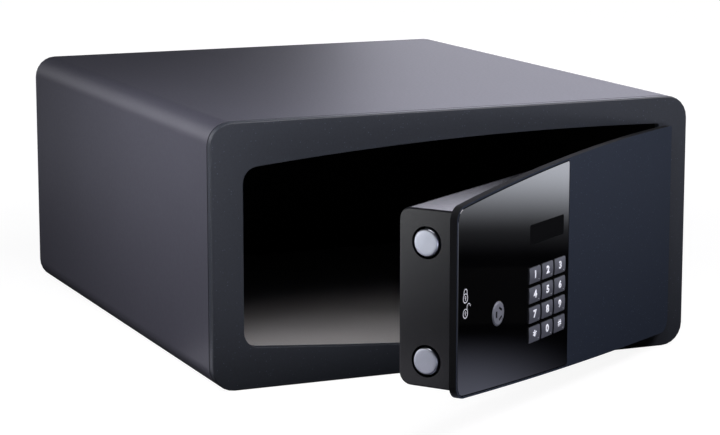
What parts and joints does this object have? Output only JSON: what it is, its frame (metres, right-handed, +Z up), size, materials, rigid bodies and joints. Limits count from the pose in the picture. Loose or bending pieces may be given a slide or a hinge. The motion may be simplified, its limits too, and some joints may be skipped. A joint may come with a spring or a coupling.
{
  "type": "laptop safe",
  "caption": "Wrapped steel cabinet with an arched front opening and a hinged steel door carrying a gloss keypad panel, a display, a slotted emergency lock and round motor-driven bolts.",
  "frame": {"origin": "centre of the cabinet's underside", "axes": "+Z up, -Y out of the cabinet's front, +X towards the hinge side; the door is stored standing open"},
  "size_m": [0.362, 0.5984, 0.182],
  "materials": {
    "cabinet_paint": "satin anthracite powder coat",
    "textured_paint": "fine textured blue-black powder coat",
    "gloss_panel": "high gloss black",
    "display_lens": "polished smoked lens",
    "key_plastic": "satin grey moulding",
    "grey_cap": "satin grey moulding",
    "black_plastic": "satin black moulding",
    "silicone_rubber": "matte",
    "board_laminate": "solder mask over glass laminate",
    "felt": "needled felt",
    "steel": "turned, satin",
    "zinc_plate": "zinc plated",
    "brass": "machined",
    "cell_wrap": "printed sleeve, left plain"
  },
  "bodies": {
    "cabinet": {"body_shell": "cabinet_paint", "back_panel": "cabinet_paint", "front_frame": "textured_paint", "floor_mat": "felt", "strike_plate": "zinc_plate", "hinge_bracket_upper": "zinc_plate", "hinge_bracket_lower": "zinc_plate", "hinge_pin_upper": "steel", "hinge_pin_lower": "steel"},
    "door": {"door_plate": "textured_paint", "hinge_arm_upper": "zinc_plate", "hinge_arm_lower": "zinc_plate", "control_panel": "gloss_panel", "display_window": "display_lens", "display_module": "black_plastic", "keypad_mat": "silicone_rubber", "circuit_board": "board_laminate", "lock_cover": "cabinet_paint", "bolt_guide": "zinc_plate", "lock_barrel": "brass", "motor_gearbox": "black_plastic", "motor_can": "zinc_plate", "battery_holder": "black_plastic", "battery_contact_upper": "steel", "battery_contact_lower": "steel", "cell_1": "cell_wrap", "cell_2": "cell_wrap", "cell_3": "cell_wrap", "cell_4": "cell_wrap", "cover_screw_1": "steel", "cover_screw_2": "steel", "cover_screw_3": "steel", "cover_screw_4": "steel"},
    "bolts": {"bolt_carriage": "zinc_plate", "bolt_upper": "steel", "bolt_lower": "steel"},
    "emergency_lock": {"lock_rotor": "grey_cap", "rotor_gear": "brass"},
    "motor_drive": {"drive_pinion": "brass"},
    "battery_hatch": {"battery_cover": "black_plastic"},
    "button_1": {"key_1": "key_plastic"},
    "button_2": {"key_2": "key_plastic"},
    "button_3": {"key_3": "key_plastic"},
    "button_4": {"key_4": "key_plastic"},
    "button_5": {"key_5": "key_plastic"},
    "button_6": {"key_6": "key_plastic"},
    "button_7": {"key_7": "key_plastic"},
    "button_8": {"key_8": "key_plastic"},
    "button_9": {"key_9": "key_plastic"},
    "button_star": {"key_star": "key_plastic"},
    "button_0": {"key_0": "key_plastic"},
    "button_hash": {"key_hash": "key_plastic"}
  },
  "joints": [
    {"name": "door_hinge", "type": "hinge", "parent": "cabinet", "child": "door", "pos_m": [0.17, -0.195, 0.091], "axis": [0, 0, 1], "range_deg": [-35.2, 54.8]},
    {"name": "bolt_slide", "type": "slide", "parent": "door", "child": "bolts", "axis": [-0.8171, -0.5764, 0], "range_m": [0, 0.02]},
    {"name": "emergency_turn", "type": "hinge", "parent": "door", "child": "emergency_lock", "pos_m": [-0.04674, -0.36135, 0.0747], "axis": [0.5764, -0.8171, 0], "range_deg": [0, 95.5]},
    {"name": "pinion_spin", "type": "hinge", "parent": "door", "child": "motor_drive", "pos_m": [-0.03812, -0.31979, 0.10186], "axis": [-0.5764, 0.8171, 0], "range_deg": [0, 163.8]},
    {"name": "battery_cover_slide", "type": "slide", "parent": "door", "child": "battery_hatch", "axis": [0.8171, 0.5764, 0], "range_m": [0, 0.01]},
    {"name": "press_1", "type": "slide", "parent": "door", "child": "button_1", "axis": [-0.5764, 0.8171, 0], "range_m": [0, 0.0012], "stiffness_N_per_m": 800},
    {"name": "press_2", "type": "slide", "parent": "door", "child": "button_2", "axis": [-0.5764, 0.8171, 0], "range_m": [0, 0.0012], "stiffness_N_per_m": 800},
    {"name": "press_3", "type": "slide", "parent": "door", "child": "button_3", "axis": [-0.5764, 0.8171, 0], "range_m": [0, 0.0012], "stiffness_N_per_m": 800},
    {"name": "press_4", "type": "slide", "parent": "door", "child": "button_4", "axis": [-0.5764, 0.8171, 0], "range_m": [0, 0.0012], "stiffness_N_per_m": 800},
    {"name": "press_5", "type": "slide", "parent": "door", "child": "button_5", "axis": [-0.5764, 0.8171, 0], "range_m": [0, 0.0012], "stiffness_N_per_m": 800},
    {"name": "press_6", "type": "slide", "parent": "door", "child": "button_6", "axis": [-0.5764, 0.8171, 0], "range_m": [0, 0.0012], "stiffness_N_per_m": 800},
    {"name": "press_7", "type": "slide", "parent": "door", "child": "button_7", "axis": [-0.5764, 0.8171, 0], "range_m": [0, 0.0012], "stiffness_N_per_m": 800},
    {"name": "press_8", "type": "slide", "parent": "door", "child": "button_8", "axis": [-0.5764, 0.8171, 0], "range_m": [0, 0.0012], "stiffness_N_per_m": 800},
    {"name": "press_9", "type": "slide", "parent": "door", "child": "button_9", "axis": [-0.5764, 0.8171, 0], "range_m": [0, 0.0012], "stiffness_N_per_m": 800},
    {"name": "press_star", "type": "slide", "parent": "door", "child": "button_star", "axis": [-0.5764, 0.8171, 0], "range_m": [0, 0.0012], "stiffness_N_per_m": 800},
    {"name": "press_0", "type": "slide", "parent": "door", "child": "button_0", "axis": [-0.5764, 0.8171, 0], "range_m": [0, 0.0012], "stiffness_N_per_m": 800},
    {"name": "press_hash", "type": "slide", "parent": "door", "child": "button_hash", "axis": [-0.5764, 0.8171, 0], "range_m": [0, 0.0012], "stiffness_N_per_m": 800}
  ],
  "couplings": [
    {"joint": "emergency_turn", "follows": "bolt_slide", "rad_per_m": 83.333},
    {"joint": "pinion_spin", "follows": "bolt_slide", "rad_per_m": 142.86}
  ]
}
